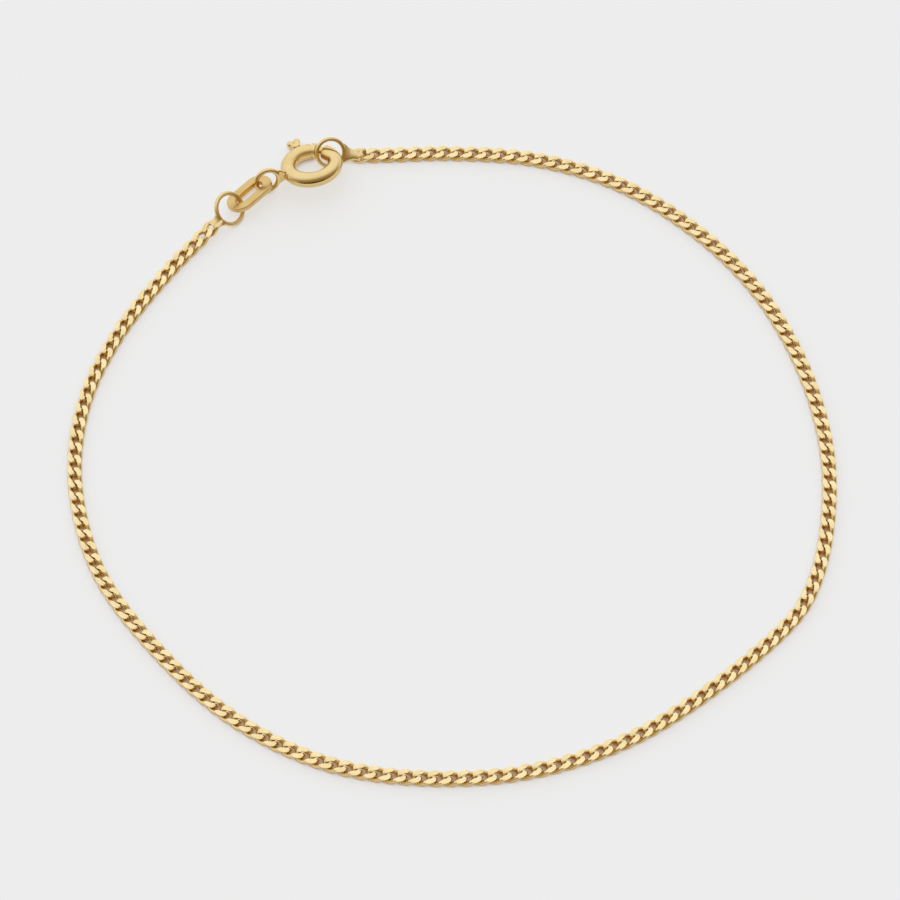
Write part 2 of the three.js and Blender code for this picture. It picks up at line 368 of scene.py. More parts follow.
def cap_open_ends(piece):
    """Closes each open edge loop of the piece being edited with a face."""
    bpy.ops.mesh.select_all(action="DESELECT")
    bpy.ops.mesh.select_mode(type="EDGE")
    bpy.ops.mesh.select_non_manifold(
        extend=False, use_wire=False, use_boundary=True, use_multi_face=False,
        use_non_contiguous=False, use_verts=False,
    )
    bpy.ops.mesh.edge_face_add()


def sweep(name, section, radius, stations):
    """Carries a flat section round part of a circle about the Z axis and closes both ends.

    The section is upright at the right of the circle. Each station is an angle in degrees, the
    steps to it from the station before, and the section's size there, across and upwards.
    """
    angle, _, *size = stations[0]
    section.matrix_world = (
        Matrix.Rotation(math.radians(angle), 4, "Z") @ Matrix.Translation((radius, 0, 0))
        @ Matrix.Rotation(math.pi / 2, 4, "X") @ Matrix.Diagonal((size[0], size[1], 1, 1))
    )
    apply_place(section)
    with editing(section):
        bpy.ops.mesh.select_all(action="SELECT")
        for next_angle, steps, *next_size in stations[1:]:
            bpy.ops.mesh.spin(
                steps=steps, angle=-math.radians(next_angle - angle), center=(0, 0, 0), axis=(0, 0, 1),
            )
            middle = Matrix.Rotation(math.radians(next_angle), 3, "Z") @ Vector((radius, 0, 0))
            across, up = (new / old for new, old in zip(next_size, size))
            if abs(across - 1) > 1e-6 or abs(up - 1) > 1e-6:
                bpy.ops.transform.resize(value=(across, across, up), center_override=middle)
            angle, size = next_angle, next_size
    with editing(section):
        cap_open_ends(section)
    mend_normals(section)
    section.name = name
    return section


def disc(sides):
    """The outline of a circle with a radius of 1."""
    bpy.ops.mesh.primitive_circle_add(vertices=sides, radius=1.0, fill_type="NOTHING")
    return bpy.context.object


def square():
    """The outline of a square, 1 by 1."""
    bpy.ops.mesh.primitive_circle_add(vertices=4, radius=math.sqrt(0.5), fill_type="NOTHING")
    outline = bpy.context.object
    outline.rotation_euler.z = math.pi / 4
    apply_place(outline)
    return outline


# ---- The chain's line ----

class ChainLine:
    """A smooth line through the route's points, measured from its start in millimetres."""

    STRETCHES = 80

    def __init__(self, points):
        points = [Vector(point) for point in points]
        points = [2 * points[0] - points[1], *points, 2 * points[-1] - points[-2]]
        self.points = [points[1]]
        for four in zip(points, points[1:], points[2:], points[3:]):
            self.points += [
                self._between(*four, step / self.STRETCHES) for step in range(1, self.STRETCHES + 1)
            ]
        self.marks = [0.0]
        for start, end in zip(self.points, self.points[1:]):
            self.marks.append(self.marks[-1] + (end - start).length)
        self.length = self.marks[-1]

    @staticmethod
    def _between(before, start, end, after, t):
        """A centripetal Catmull-Rom stretch from start to end."""
        gaps = [math.sqrt((b - a).length) for a, b in ((before, start), (start, end), (end, after))]
        first, middle, last = gaps
        leave = (
            (start - before) / first - (end - before) / (first + middle) + (end - start) / middle
        ) * middle
        arrive = (
            (end - start) / middle - (after - start) / (middle + last) + (after - end) / last
        ) * middle
        return (
            start + leave * t + (3 * (end - start) - 2 * leave - arrive) * t ** 2
            + (2 * (start - end) + leave + arrive) * t ** 3
        )

    def at(self, distance):
        low, high = 0, len(self.marks) - 1
        while high - low > 1:
            middle = (low + high) // 2
            low, high = (middle, high) if self.marks[middle] <= distance else (low, middle)
        part = (distance - self.marks[low]) / (self.marks[high] - self.marks[low])
        return self.points[low].lerp(self.points[high], part)

    def place(self, distance):
        """A link's place there: x along the line, y to the left and z up."""
        reach = 0.05
        start, end = max(distance - reach, 0.0), min(distance + reach, self.length)
        along = (self.at(end) - self.at(start)).normalized()
        left = Vector((-along.y, along.x, 0.0)).normalized()
        turn = Matrix((along, left, along.cross(left))).transposed().to_4x4()
        return Matrix.Translation(self.at(distance)) @ turn


CHAIN_LINE = ChainLine(ROUTE)


# ---- Materials ----

def shader_node(tree, kind, place, **settings):
    """A node with these settings, at a column and row of the node sheet."""
    node = tree.nodes.new(kind)
    node.location = (220 * place[0], 180 * place[1])
    for key, value in settings.items():
        setattr(node, key, value)
    return node


def fill(node, **values):
    """Sets a node's inputs, named with underscores for spaces."""
    for key, value in values.items():
        node.inputs[key.replace("_", " ")].default_value = value
    return node


def math_node(tree, operation, place, *sources, **settings):
    """The result of a Math node that is given these outputs or numbers, in order."""
    node = shader_node(tree, "ShaderNodeMath", place, operation=operation, **settings)
    for socket, source in zip(node.inputs, sources):
        if isinstance(source, float):
            socket.default_value = source
        else:
            tree.links.new(source, socket)
    return node.outputs["Value"]


def ramp(node, *stops):
    """Sets a colour ramp's stops: a place and a grey value or a colour each."""
    elements = node.color_ramp.elements
    while len(elements) < len(stops):
        elements.new(0.5)
    for element, (position, shade) in zip(elements, stops):
        element.position = position
        element.color = (*shade, 1.0) if isinstance(shade, tuple) else (shade, shade, shade, 1.0)
    return node


def worn_metal_group():
    """The wear of a small gold piece: tarnish, cloudy polish, hairline scratches and pits, and a
    painted shade on its sides and undersides.
    """
    found = bpy.data.node_groups.get("WornMetal")
    if found is not None:
        return found
    group = bpy.data.node_groups.new("WornMetal", "ShaderNodeTree")
    for name, kind, value in (
        ("Metal", "NodeSocketColor", (0.9, 0.7, 0.33, 1.0)),
        # Tarnish is the colour of the tarnish stains and also of the painted shade on sides and
        # undersides.
        ("Tarnish", "NodeSocketColor", (0.72, 0.49, 0.18, 1.0)),
        ("Tarnish Amount", "NodeSocketFloat", 0.3),
        # How strongly the sides and undersides are darkened as painted shade.
        ("Side Tarnish", "NodeSocketFloat", 0.3),
        ("Roughness", "NodeSocketFloat", 0.16),
        ("Cloudiness", "NodeSocketFloat", 0.1),
        ("Cloud Scale", "NodeSocketFloat", 900.0),
        ("Scratches", "NodeSocketFloat", 0.5),
        ("Scratch Scale", "NodeSocketFloat", 2500.0),
        ("Pits", "NodeSocketFloat", 0.3),
    ):
        socket = group.interface.new_socket(name=name, in_out="INPUT", socket_type=kind)
        socket.default_value = value
    for name, kind in (
        ("Color", "NodeSocketColor"), ("Roughness", "NodeSocketFloat"), ("Height", "NodeSocketFloat"),
    ):
        group.interface.new_socket(name=name, in_out="OUTPUT", socket_type=kind)

    given = shader_node(group, "NodeGroupInput", (-6, 0))
    result = shader_node(group, "NodeGroupOutput", (5, 0))
    place = shader_node(group, "ShaderNodeTexCoord", (-6, 3))
    wire = group.links.new

    clouds = fill(shader_node(group, "ShaderNodeTexNoise", (-3, 3)), Detail=4.0, Roughness=0.6)
    wire(place.outputs["Object"], clouds.inputs["Vector"])
    wire(given.outputs["Cloud Scale"], clouds.inputs["Scale"])

    stain = ramp(shader_node(group, "ShaderNodeValToRGB", (-2, 3)), (0.42, 0.0), (0.72, 1.0))
    wire(clouds.outputs["Fac"], stain.inputs["Fac"])
    stain_amount = math_node(
        group, "MULTIPLY", (-1, 3), stain.outputs["Color"], given.outputs["Tarnish Amount"],
    )

    # Painted shade: the sides and undersides, told by the direction of their faces, get a deeper,
    # darker colour.
    axes = shader_node(group, "ShaderNodeSeparateXYZ", (-4, 5))
    wire(place.outputs["Normal"], axes.inputs["Vector"])
    side = shader_node(group, "ShaderNodeMapRange", (-3, 5), interpolation_type="SMOOTHSTEP")
    fill(side, From_Min=0.85, From_Max=0.1)
    wire(axes.outputs["Z"], side.inputs["Value"])
    side_shade_amount = math_node(
        group, "MULTIPLY", (-1, 5), side.outputs["Result"], given.outputs["Side Tarnish"],
    )
    deepest = math_node(group, "MAXIMUM", (0, 4), stain_amount, side_shade_amount)
    tint = shader_node(group, "ShaderNodeMix", (1, 3), data_type="RGBA")
    wire(deepest, tint.inputs["Factor"])
    wire(given.outputs["Metal"], tint.inputs["A"])
    wire(given.outputs["Tarnish"], tint.inputs["B"])
    wire(tint.outputs["Result"], result.inputs["Color"])

    # Hairlines in two directions: noise drawn out along one axis and cut to thin lines.
    lines = []
    for row, turn in enumerate((0.5, -0.9)):
        along = shader_node(group, "ShaderNodeMapping", (-4, -1 - 2 * row))
        fill(along, Rotation=(0.2, 0.1, turn), Scale=(0.06, 1.0, 1.0))
        wire(place.outputs["Object"], along.inputs["Vector"])
        hair = fill(shader_node(group, "ShaderNodeTexNoise", (-3, -1 - 2 * row)), Detail=2.0)
        wire(along.outputs["Vector"], hair.inputs["Vector"])
        wire(given.outputs["Scratch Scale"], hair.inputs["Scale"])
        thin = ramp(
            shader_node(group, "ShaderNodeValToRGB", (-2, -1 - 2 * row)),
            (0.485, 0.0), (0.5, 1.0), (0.515, 0.0),
        )
        wire(hair.outputs["Fac"], thin.inputs["Fac"])
        lines.append(thin.outputs["Color"])
    both = math_node(group, "MAXIMUM", (-1, -2), *lines)
    scratches = math_node(group, "MULTIPLY", (0, -2), both, given.outputs["Scratches"])

    cells = shader_node(group, "ShaderNodeTexVoronoi", (-3, -5), feature="F1")
    wire(place.outputs["Object"], cells.inputs["Vector"])
    wire(given.outputs["Scratch Scale"], cells.inputs["Scale"])
    dots = ramp(shader_node(group, "ShaderNodeValToRGB", (-2, -5)), (0.08, 1.0), (0.14, 0.0))
    wire(cells.outputs["Distance"], dots.inputs["Fac"])
    pits = math_node(group, "MULTIPLY", (0, -5), dots.outputs["Color"], given.outputs["Pits"])

    damage = math_node(group, "ADD", (1, -3), scratches, pits)
    wire(math_node(group, "SUBTRACT", (3, -3), 1.0, damage), result.inputs["Height"])

    # Scratches and pits are duller than the metal round them by this much.
    dulling = 0.12
    haze = math_node(
        group, "MULTIPLY", (0, 1), clouds.outputs["Fac"], given.outputs["Cloudiness"],
    )
    dull = math_node(group, "MULTIPLY_ADD", (2, 1), damage, dulling, haze)
    rough = math_node(group, "ADD", (3, 1), dull, given.outputs["Roughness"], use_clamp=True)
    wire(rough, result.inputs["Roughness"])
    return group


def gold_material(name, metal, tarnish, relief, **wear):
    """Gold with its own wear and a painted shade on its sides and undersides, in its tarnish colour.
    The relief is the depth of its scratches, in metres.
    """
    material = bpy.data.materials.new(name)
    material.use_nodes = True
    tree = material.node_tree
    surface = fill(tree.nodes["Principled BSDF"], Metallic=1.0)
    metal_wear = shader_node(tree, "ShaderNodeGroup", (-4, 1))
    metal_wear.node_tree = worn_metal_group()
    fill(metal_wear, Metal=(*metal, 1.0), Tarnish=(*tarnish, 1.0), **wear)
    bump = fill(shader_node(tree, "ShaderNodeBump", (-2, 0)), Distance=relief, Strength=1.0)
    tree.links.new(metal_wear.outputs["Color"], surface.inputs["Base Color"])
    tree.links.new(metal_wear.outputs["Roughness"], surface.inputs["Roughness"])
    tree.links.new(metal_wear.outputs["Height"], bump.inputs["Height"])
    tree.links.new(bump.outputs["Normal"], surface.inputs["Normal"])
    material.diffuse_color = (*metal, 1.0)
    return material


def filed_gold():
    finish = bpy.context.scene.bracelet_finish
    # The links' sides and undersides get a strong painted shade in the deep gold.
    return gold_material(
        "filed_gold", finish.filed_gold, finish.deep_gold, 1.5e-6,
        Tarnish_Amount=0.3, Side_Tarnish=0.85, Roughness=finish.filed, Cloudiness=0.1,
        Cloud_Scale=1100.0, Scratches=0.4, Scratch_Scale=9000.0, Pits=0.3,
    )


def polished_gold():
    finish = bpy.context.scene.bracelet_finish
    # The sides and undersides get a painted shade in the deep gold.
    return gold_material(
        "polished_gold", finish.gold, finish.deep_gold, 1.5e-6,
        Tarnish_Amount=0.25, Side_Tarnish=0.5, Roughness=finish.polish, Cloudiness=0.1,
        Cloud_Scale=700.0, Scratches=0.2, Scratch_Scale=5000.0, Pits=0.2,
    )


def tag_gold():
    finish = bpy.context.scene.bracelet_finish
    # The sides and undersides get a faint painted shade in the deep gold.
    return gold_material(
        "tag_gold", finish.tag_gold, finish.deep_gold, 2.0e-6,
        Tarnish_Amount=0.6, Side_Tarnish=0.3, Roughness=0.24, Cloudiness=0.15,
        Cloud_Scale=900.0, Scratches=0.3, Scratch_Scale=5000.0, Pits=0.3,
    )


# Painted shade and painted reflection for the walls inside the tag link.
def slot_gold():
    finish = bpy.context.scene.bracelet_finish
    return gold_material(
        "slot_gold", finish.slot_gold, finish.deep_gold, 3.0e-6,
        Tarnish_Amount=0.2, Side_Tarnish=0.0, Roughness=0.3, Cloudiness=0.15,
        Cloud_Scale=1200.0, Scratches=0.3, Scratch_Scale=5000.0, Pits=0.4,
    )


def soldered_gold():
    finish = bpy.context.scene.bracelet_finish
    # The sides and undersides get a painted shade in the solder colour.
    return gold_material(
        "soldered_gold", finish.gold, finish.solder, 4.0e-6,
        Tarnish_Amount=0.6, Side_Tarnish=0.6, Roughness=finish.soldered, Cloudiness=0.16,
        Cloud_Scale=1500.0, Scratches=0.2, Scratch_Scale=6000.0, Pits=0.6,
    )


# ---- The chain ----

# Waves in the lean of the links along the chain: the size of each in radians, its rate from link
# to link and its start.
ROLL_WAVES = ((0.020, 1.7, 0.0), (0.012, 0.61, 1.0))
PITCH_WAVES = ((0.010, 1.3, 2.0),)


def link_pitch(chain):
    """The way from one link to the next."""
    return CHAIN_LINE.length / (chain.links - 1)


def curb_link(name, chain):
    """One link: an oval of round wire, twisted flat and then filed on both faces."""
    link = wire_loop(
        name, (link_pitch(chain) + chain.wire + chain.play) / 2, (chain.width - chain.wire) / 2,
        chain.wire, chain.wire_sides, chain.steps,
        fullness=(chain.end_fullness, chain.side_fullness), twist=chain.twist,
    )
    with editing(link):
        for side in (1, -1):
            bpy.ops.mesh.select_all(action="SELECT")
            bpy.ops.mesh.bisect(
                plane_co=(0, 0, side * chain.thickness / 2), plane_no=(0, 0, side),
                use_fill=True, clear_outer=True,
            )
    return link


def sway(number):
    """The small lean of one link. It drifts along the chain, so neighbours stay clear."""
    roll, pitch = (
        sum(size * math.sin(rate * number + start) for size, rate, start in waves)
        for waves in (ROLL_WAVES, PITCH_WAVES)
    )
    return Matrix.Rotation(roll, 4, "X") @ Matrix.Rotation(pitch, 4, "Y")


class BRACELET_OT_chain(bpy.types.Operator):
    """Model one filed curb link and lay its copies along the chain's line"""

    bl_idname = "bracelet.chain"
    bl_label = "Chain Links"

    def execute(self, context):
        chain = in_mm(context.scene.bracelet_chain)
        first = curb_link("chain_links", chain)
        copies = []
        for number in range(2, chain.links - 1):
            copy = first.copy()
            copy.data = first.data.copy()
            context.collection.objects.link(copy)
            copy.matrix_world = CHAIN_LINE.place(number * link_pitch(chain)) @ sway(number)
            copies.append(copy)
        first.matrix_world = CHAIN_LINE.place(link_pitch(chain)) @ sway(1)
        links = join("chain_links", first, *copies)
        settle(links, "bracelet", "chain_gold", filed_gold(), "chain", crease=40.0)
        return {"FINISHED"}


# ---- The soldered end rings ----

def oval(centre, along, across, width, height):
    """The outline of a flattened round section, square to one direction and wide in another."""
    across = (across - along * across.dot(along)).normalized()
    turn = Matrix((across, along.cross(across), along)).transposed().to_4x4()
    outline = disc(24)
    size = Matrix.Diagonal((width / 2, height / 2, 1, 1))
    outline.matrix_world = Matrix.Translation(centre) @ turn @ size
    apply_place(outline)
    return outline


def web(name, start, end, *sections):
    """Metal that has run between two points.

    Each section is the share of the way to it, its width, its height and the direction of its
    width.
    """
    along = (end - start).normalized()
    loft = join(name, *(
        oval(start.lerp(end, part), along, across, width, height)
        for part, width, height, across in sections
    ))
    with editing(loft):
        bpy.ops.mesh.select_all(action="SELECT")
        bpy.ops.mesh.bridge_edge_loops()
        cap_open_ends(loft)
    mend_normals(loft)
    return loft


def ring_point(place, toward, radius):
    """The point of a ring's centre line nearest to a given one, and the line's direction there."""
    matrix = placement(**place)
    level = matrix.inverted() @ toward
    out = Vector((level.x, level.y, 0)).normalized()
    return matrix @ (out * radius), matrix.to_3x3() @ Vector((-out.y, out.x, 0))


def bump(place, size):
    """A round drop of solder."""
    bpy.ops.mesh.primitive_ico_sphere_add(subdivisions=3, radius=size / 2, location=place)
    return bpy.context.object


def end_ring(name, place, radius, wire, distance, sections, *drops):
    """A closed ring, the chain's last link and the solder that joins them, in one skin.

    Each section of the solder is the share of the way from the ring to the middle of the link,
    its width and its height. Each drop is its place, seen from the link, and its size.
    """
    chain = in_mm(bpy.context.scene.bracelet_chain)
    ring = wire_loop(name, radius, radius, wire, RING_SIDES, RING_STEPS)
    move(ring, placement(**place))
    link = curb_link("soldered_link", chain)
    link_place = CHAIN_LINE.place(distance)
    move(link, link_place)
    middle = link_place.translation
    joint, tangent = ring_point(place, middle, radius)
    across = link_place.to_3x3() @ Vector((0, 1, 0))
    if tangent.dot(across) < 0:
        tangent.negate()
    solder = web(
        "solder", joint, middle,
        *((part, width, height, tangent.lerp(across, min(1, max(0, part * 1.5))))
          for part, width, height in sections),
    )
    drops = [bump(link_place @ Vector(at), size) for at, size in drops]
    ring = join(name, ring, link, solder, *drops)
    fuse(ring, voxel=0.025, rounds=10)
    return ring


class BRACELET_OT_end_rings(bpy.types.Operator):
    """Solder a ring to each end of the chain"""

    bl_idname = "bracelet.end_rings"
    bl_label = "Soldered End Rings"

    def execute(self, context):
        clasp = in_mm(context.scene.bracelet_clasp)
        right = end_ring(
            "right_end_ring", RIGHT_RING_PLACE, clasp.right_radius, clasp.right_wire, 0.0,
            (
                (-0.08, 1.8, 0.26), (0.1, 1.45, 0.36), (0.3, 1.05, 0.46), (0.5, 0.86, 0.52),
                (0.95, 1.0, 0.56),
            ),
            ((0.05, 0.4, 0.16), 0.44), ((-0.45, 0.2, 0.24), 0.36), ((-0.3, -0.25, 0.24), 0.38),
            ((-0.95, -0.15, 0.18), 0.3),
        )
        settle(right, "bracelet", "soldered_gold", soldered_gold(), "end_ring_right")
        left = end_ring(
            "left_end_ring", LEFT_RING_PLACE, clasp.left_radius, clasp.left_wire, CHAIN_LINE.length,
            ((-0.06, 1.4, 0.3), (0.15, 1.15, 0.42), (0.45, 0.9, 0.52), (1.0, 0.98, 0.56)),
        )
        settle(left, "bracelet", "soldered_gold", soldered_gold(), "end_ring_left")
        return {"FINISHED"}


# ---- The tag link ----

class BRACELET_OT_tag(bpy.types.Operator):
    """Model the flat strip link between the left end ring and the spring ring's eye"""

    bl_idname = "bracelet.tag"
    bl_label = "Tag Link"

    def execute(self, context):
        clasp = in_mm(context.scene.bracelet_clasp)
        reach = (clasp.tag_length - clasp.tag_width) / 2
        tag = self.strip(clasp, reach)
        place = (
            Matrix.Translation(TAG_PLACE["centre"])
            @ Matrix.Rotation(math.radians(TAG_PLACE["heading"]), 4, "Z")
            @ Matrix.Rotation(math.radians(TAG_PLACE["roll"]), 4, "X")
        )
        move(tag, place)
        settle(tag, "bracelet", "clasp_gold", tag_gold(), "tag_link")
        self.paint_slot_shade(tag, place, reach)
        return {"FINISHED"}

    def strip(self, clasp, reach):
        """A flat ring, drawn out to both sides and given its height and soft edges."""
        bpy.ops.mesh.primitive_circle_add(vertices=48, radius=clasp.tag_width / 2, fill_type="NGON")
        tag = named("tag_strip")
        with editing(tag):
            for side in (1, -1):
                choose(tag, "verts", lambda vert, side=side: vert.co.x * side > 0.01)
                bpy.ops.transform.translate(value=(side * reach, 0, 0))
            bpy.ops.mesh.select_all(action="SELECT")
            bpy.ops.mesh.select_mode(type="FACE")
            bpy.ops.mesh.inset(thickness=clasp.tag_wall, depth=0)
            bpy.ops.mesh.delete(type="FACE")
            bpy.ops.mesh.select_all(action="SELECT")
            bpy.ops.mesh.extrude_region_move(
                TRANSFORM_OT_translate={"value": (0, 0, clasp.tag_height)},
            )
            bpy.ops.mesh.select_all(action="SELECT")
            bpy.ops.transform.translate(value=(0, 0, -clasp.tag_height / 2))
        mend_normals(tag)
        finish_modifier(tag, "BEVEL", width=0.09, segments=4, limit_method="ANGLE", angle_limit=1.0)
        return tag

    def paint_slot_shade(self, tag, place, reach):
        """Paints the walls inside the settled tag with the deep colour of its slot: a painted shade
        and painted reflection.
        """
        tag.data.materials.append(slot_gold())
        back = (Matrix.Scale(MM, 4) @ place).inverted()

        def in_slot(face):
            middle = back @ face.calc_center_median()
            normal = back.to_3x3().normalized() @ face.normal
            outward = Vector((middle.x - max(-reach, min(reach, middle.x)), middle.y, 0))
            return outward.dot(normal) < 0 and abs(normal.z) < 0.6

        with editing(tag):
            choose(tag, "faces", in_slot)
            tag.active_material_index = 1
            bpy.ops.object.material_slot_assign()


# ---- The spring ring ----

def spring_ring_place():
    return placement(**SPRING_RING_PLACE)


def rounded_tube_stations(start, end, radius):
    """Stations of a tube with rounded rims and a groove round it near its gate."""
    rim = ((0.0, 0.84), (0.5, 0.95), (1.6, 1.0))
    groove = ((-1.8, 1.0), (-1.1, 0.77), (1.1, 0.77), (1.8, 1.0))
    sizes = (
        *((start + angle, size) for angle, size in rim),
        *((SEAM_GROOVE + angle, size) for angle, size in groove),
        *((end - angle, size) for angle, size in reversed(rim)),
    )
    steps = (0, 1, 1, 3, 1, 1, 1, 80, 1, 1)
    return [
        (angle, count, radius * size, radius * size) for (angle, size), count in zip(sizes, steps)
    ]


def bar(name, inner, outer, low, high, start, end, steps):
    """A bar of oblong section between two radii, two heights and two angles."""
    size = (outer - inner, high - low)
    piece = sweep(name, square(), (inner + outer) / 2, ((start, 0, *size), (end, steps, *size)))
    move(piece, Matrix.Translation((0, 0, (low + high) / 2)))
    return piece


class BRACELET_OT_spring_ring(bpy.types.Operator):
    """Model the hollow spring ring with its eye, its slots and the coil spring inside"""

    bl_idname = "bracelet.spring_ring"
    bl_label = "Spring Ring"

    def execute(self, context):
        clasp = in_mm(context.scene.bracelet_clasp)
        tube = self.tube(clasp)
        combine(tube, self.eye(clasp), "UNION")
        settle(tube, "bracelet", "clasp_gold", polished_gold(), "spring_ring")
        settle(self.coil(clasp), "bracelet", "clasp_gold", polished_gold())
        return {"FINISHED"}

    def tube(self, clasp):
        """The hollow tube with its gate, the trigger's slot and the open seam."""
        overcut = 0.2
        outside = clasp.radius + clasp.tube + overcut
        tube = sweep(
            "spring_ring_tube", disc(40), clasp.radius,
            rounded_tube_stations(GATE[1], GATE[0] + 360, clasp.tube),
        )
        narrow, wide = (clasp.bore, clasp.bore), (clasp.spring_bore, clasp.spring_bore)
        widening = 6
        bore = sweep(
            "bore", disc(32), clasp.radius,
            (
                (BORE[0], 0, *narrow), (WIDE_BORE, 49, *narrow),
                (WIDE_BORE + widening, 1, *wide), (BORE[1], 16, *wide),
            ),
        )
        combine(tube, bore, "DIFFERENCE")
        slot = bar(
            "slot", clasp.radius, outside, -clasp.slot / 2, clasp.slot / 2,
            TRIGGER_ANGLE - SLOT_REACH, TRIGGER_ANGLE + SLOT_REACH + BOLT_TRAVEL, 14,
        )
        combine(tube, slot, "DIFFERENCE")
        combine(tube, self.slit(clasp.radius, outside), "DIFFERENCE")
        move(tube, spring_ring_place())
        return tube

    def eye(self, clasp):
        """The eye and the flat foot that is soldered to the tube."""
        half_length, half_width = 0.88, 1.0
        eye = wire_loop("eye", half_length, half_width, clasp.eye_wire, RING_SIDES, RING_STEPS)
        move(eye, placement(**EYE_PLACE))
        ring_middle, eye_middle = Vector(SPRING_RING_PLACE["centre"]), Vector(EYE_PLACE["centre"])
        tube_side = ring_point(SPRING_RING_PLACE, eye_middle, clasp.radius)[1]
        eye_side = placement(**EYE_PLACE).to_3x3() @ Vector((0, 1, 0))
        if eye_side.dot(tube_side) < 0:
            eye_side.negate()
        foot = web(
            "foot", ring_middle, eye_middle,
            (0.50, 1.40, 0.90, tube_side.lerp(eye_side, 0.5)),
            (0.62, 1.62, 0.74, tube_side.lerp(eye_side, 0.7)),
            (0.69, 1.62, 0.54, tube_side.lerp(eye_side, 0.85)),
            (0.76, 1.45, 0.4, eye_side),
        )
        eye = join("eye", eye, foot)
        fuse(eye, voxel=0.025, rounds=6)
        return eye

    def slit(self, inner, outer):
        """The open seam of the tube: a slit that is widest in its middle."""
        steps, end_height, swell, lift = 12, 0.015, 0.13, 0.14
        stations = []
        for step in range(steps + 1):
            part = step / steps
            angle = SEAM_SLIT[0] + (SEAM_SLIT[1] - SEAM_SLIT[0]) * part
            height = end_height + swell * math.sin(math.pi * part)
            stations.append((angle, 1, outer - inner, height))
        slit = sweep("slit", square(), (inner + outer) / 2, stations)
        move(slit, Matrix.Translation((0, 0, lift)))
        return slit

    def coil(self, clasp):
        """The part of the coil spring that shows through the slit."""
        wire, pitch, clearance = clasp.spring_wire / 2, 0.17, 0.01
        wire_sides, turn_steps = 6, 14
        coil_radius = clasp.spring_bore - wire - clearance
        start, end = (math.radians(angle) for angle in SPRING_SHOWN)
        turns = int((end - start) * clasp.radius / pitch)
        bpy.ops.mesh.primitive_circle_add(
            vertices=wire_sides, radius=wire, fill_type="NOTHING", location=(coil_radius, 0, 0),
            rotation=(math.pi / 2, 0, 0),
        )
        coil = named("coil_spring")
        apply_place(coil)
        finish_modifier(
            coil, "SCREW", axis="Z", screw_offset=pitch, iterations=turns, steps=turn_steps,
            render_steps=turn_steps,
        )
        with editing(coil):
            cap_open_ends(coil)
        mend_normals(coil)
        move(coil, Matrix.Rotation(math.pi / 2, 4, "Y"))
        bpy.ops.curve.primitive_bezier_circle_add(radius=clasp.radius)
        line = bpy.context.object
        line.data.resolution_u = 32
        line.data.use_path_clamp = False
        finish_modifier(coil, "CURVE", object=line, deform_axis="POS_X")
        bpy.data.objects.remove(line)
        # The line starts at the ring's near side and runs clockwise.
        move(coil, Matrix.Rotation(math.pi / 2 + end, 4, "Z"))
        move(coil, spring_ring_place())
        return coil


# ---- The bolt ----

class BRACELET_OT_bolt(bpy.types.Operator):
    """Model the sprung bolt with its split trigger"""

    bl_idname = "bracelet.bolt"
    bl_label = "Bolt and Trigger"

    def execute(self, context):
        clasp = in_mm(context.scene.bracelet_clasp)
        start, end = BOLT
        nose = ((0.0, 0.3), (0.8, 0.62), (2.2, 0.86), (4.2, 0.97), (6.5, 1.0))
        stations = [
            (start + angle, 1, clasp.bolt * size, clasp.bolt * size) for angle, size in nose
        ]
        stations.append((end, 20, clasp.bolt, clasp.bolt))
        bolt = sweep("bolt", disc(32), clasp.radius, stations)
        post_end = 2.95
        post = bar(
            "post", clasp.radius, post_end, -clasp.post / 2, clasp.post / 2,
            TRIGGER_ANGLE - POST_REACH, TRIGGER_ANGLE + POST_REACH, 4,
        )
        combine(bolt, post, "UNION")
        combine(bolt, self.trigger(), "UNION")
        move(bolt, spring_ring_place())
        settle(bolt, "bolt", "clasp_gold", polished_gold(), "spring_bolt")
        return {"FINISHED"}

    def trigger(self):
        """The trigger's head: a tab that ends in two round lobes with a crease between them."""
        inner, outer, low, high = 2.56, 3.3, -0.08, 0.46
        width, notch, crease = 0.86, 0.26, 0.1
        lobe, lobe_side, lobe_inset = 0.62, 0.29, 0.06
        near_middle = 0.02
        bpy.ops.mesh.primitive_cube_add(size=1.0)
        head = named("trigger")
        head.matrix_world = Matrix.Diagonal((outer - inner, width, high - low, 1))
        apply_place(head)
        with editing(head):
            choose(head, "faces", lambda face: face.normal.x < -0.9)
            bpy.ops.transform.resize(value=(1, 0.7, 0.9))
            choose(head, "edges", lambda edge: abs((edge.verts[0].co - edge.verts[1].co).y) > 0.1)
            bpy.ops.mesh.subdivide(number_cuts=1)
            choose(head, "verts", lambda vert: abs(vert.co.y) < near_middle and vert.co.x > 0)
            bpy.ops.transform.translate(value=(-notch, 0, 0))
            choose(head, "verts", lambda vert: abs(vert.co.y) < near_middle and vert.co.z > 0)
            bpy.ops.transform.translate(value=(0, 0, -crease))
        lobe_reach = (outer - inner) / 2 - lobe_inset
        lobes = [bump((lobe_reach, side * lobe_side, 0.0), lobe) for side in (1, -1)]
        head = join("trigger", head, *lobes)
        fuse(head, voxel=0.03, rounds=16)
        move(head, Matrix.Translation(((inner + outer) / 2, 0, (low + high) / 2)))
        move(head, Matrix.Rotation(math.radians(TRIGGER_ANGLE), 4, "Z"))
        return head


# ---- The stage ----

# Where the sky is brightest, and its colour from the far side of that (0) to its middle (1).
BRIGHT_SIDE = (-0.3, 0.75, 0.6)
SKY = (
    (0.0, (0.20, 0.13, 0.04)), (0.29, (0.25, 0.165, 0.055)), (0.55, (0.44, 0.35, 0.22)),
    (0.65, (0.66, 0.63, 0.57)), (0.8, (0.93, 0.93, 0.91)), (1.0, (1.0, 1.0, 0.99)),
)


